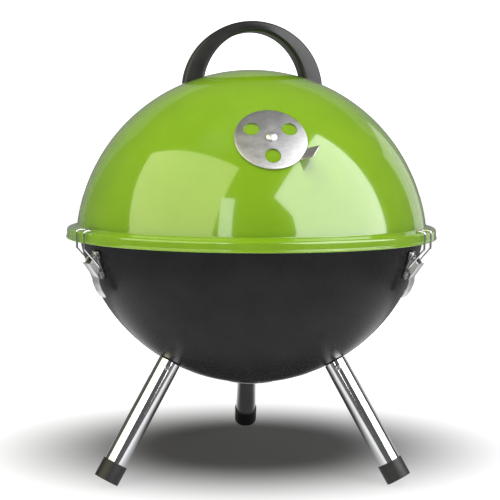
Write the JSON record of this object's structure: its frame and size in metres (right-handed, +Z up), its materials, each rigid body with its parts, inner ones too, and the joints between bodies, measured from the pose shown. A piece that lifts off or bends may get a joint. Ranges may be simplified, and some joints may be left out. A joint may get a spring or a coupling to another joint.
{
  "type": "kettle grill",
  "caption": "Small kettle charcoal grill: black bowl on splayed chromed legs, green domed lid with arch handle and turning vent, wire toggle latches, wire grates inside.",
  "frame": {"origin": "on the kettle's upright axis, on the floor under the three feet", "axes": "+Z up, -Y towards the front with the lid's vent, +X to the right of a person facing the front"},
  "size_m": [0.32, 0.3221, 0.3871],
  "materials": {
    "green_enamel": "glossy porcelain enamel",
    "black_enamel": "glossy porcelain enamel",
    "black_plastic": "satin moulded heat-proof plastic",
    "chrome": "bright chrome plate",
    "steel": "plated steel, lightly brushed"
  },
  "bodies": {
    "kettle": {"bowl": "black_enamel", "bowl_damper_rivet": "steel", "bowl_damper_washer": "steel", "leg_tube_left": "chrome", "leg_tube_right": "chrome", "leg_tube_rear": "chrome", "leg_plug_left": "steel", "leg_plug_right": "steel", "leg_plug_rear": "steel", "leg_cross_screw_left": "steel", "leg_cross_screw_right": "steel", "leg_cross_screw_rear": "steel", "leg_bolt_left": "steel", "leg_bolt_right": "steel", "leg_bolt_rear": "steel", "leg_washer_left": "steel", "leg_washer_right": "steel", "leg_washer_rear": "steel", "foot_cap_left": "black_plastic", "foot_cap_right": "black_plastic", "foot_cap_rear": "black_plastic", "latch_base_left": "steel", "latch_base_right": "steel", "latch_base_rear": "steel", "latch_pin_left": "steel", "latch_pin_right": "steel", "latch_pin_rear": "steel", "latch_rivet_upper_left": "steel", "latch_rivet_upper_right": "steel", "latch_rivet_upper_rear": "steel", "latch_rivet_lower_left": "steel", "latch_rivet_lower_right": "steel", "latch_rivet_lower_rear": "steel", "grate_bracket_left": "steel", "grate_bracket_right": "steel", "grate_bracket_rear": "steel"},
    "lid": {"lid": "green_enamel", "handle": "black_plastic", "handle_washer_left": "steel", "handle_washer_right": "steel", "handle_screw_left": "steel", "handle_screw_right": "steel", "lid_damper_rivet": "steel", "lid_damper_washer": "steel"},
    "lid_damper": {"lid_damper": "steel"},
    "bowl_damper": {"bowl_damper": "steel"},
    "cooking_grate": {"cooking_grate": "chrome"},
    "charcoal_grate": {"charcoal_grate": "steel"},
    "latch_lever_left": {"latch_lever_left": "chrome"},
    "latch_bail_left": {"latch_bail_left": "chrome"},
    "latch_lever_right": {"latch_lever_right": "chrome"},
    "latch_bail_right": {"latch_bail_right": "chrome"},
    "latch_lever_rear": {"latch_lever_rear": "chrome"},
    "latch_bail_rear": {"latch_bail_rear": "chrome"}
  },
  "joints": [
    {"name": "lid_lift", "type": "slide", "parent": "kettle", "child": "lid", "axis": [0, 0, 1], "range_m": [0, 0.2]},
    {"name": "lid_damper_turn", "type": "hinge", "parent": "lid", "child": "lid_damper", "pos_m": [0, 0, 0.19373], "axis": [0.0687, -0.785, 0.6157], "continuous": true},
    {"name": "bowl_damper_turn", "type": "hinge", "parent": "kettle", "child": "bowl_damper", "pos_m": [0, 0, 0.22539], "axis": [0, 0, -1], "continuous": true},
    {"name": "cooking_grate_lift", "type": "slide", "parent": "kettle", "child": "cooking_grate", "axis": [0, 0, 1], "range_m": [0, 0.035]},
    {"name": "charcoal_grate_lift", "type": "slide", "parent": "kettle", "child": "charcoal_grate", "axis": [0, 0, 1], "range_m": [0, 0.06]},
    {"name": "latch_left_lever", "type": "hinge", "parent": "kettle", "child": "latch_lever_left", "pos_m": [-0.13051, -0.07535, 0.19013], "axis": [-0.5, 0.866, 0], "range_deg": [0, 110]},
    {"name": "latch_left_bail", "type": "hinge", "parent": "latch_lever_left", "child": "latch_bail_left", "pos_m": [-0.12841, -0.07414, 0.18356], "axis": [-0.5, 0.866, 0], "range_deg": [-125, 5]},
    {"name": "latch_right_lever", "type": "hinge", "parent": "kettle", "child": "latch_lever_right", "pos_m": [0.13051, -0.07535, 0.19013], "axis": [-0.5, -0.866, 0], "range_deg": [0, 110]},
    {"name": "latch_right_bail", "type": "hinge", "parent": "latch_lever_right", "child": "latch_bail_right", "pos_m": [0.12841, -0.07414, 0.18356], "axis": [-0.5, -0.866, 0], "range_deg": [-125, 5]},
    {"name": "latch_rear_lever", "type": "hinge", "parent": "kettle", "child": "latch_lever_rear", "pos_m": [0, 0.1507, 0.19013], "axis": [1, 0, 0], "range_deg": [0, 110]},
    {"name": "latch_rear_bail", "type": "hinge", "parent": "latch_lever_rear", "child": "latch_bail_rear", "pos_m": [0, 0.14828, 0.18356], "axis": [1, 0, 0], "range_deg": [-125, 5]}
  ],
  "couplings": [
    {"joint": "latch_left_bail", "follows": "latch_left_lever", "ratio": -1.1},
    {"joint": "latch_right_bail", "follows": "latch_right_lever", "ratio": -1.1},
    {"joint": "latch_rear_bail", "follows": "latch_rear_lever", "ratio": -1.1}
  ]
}
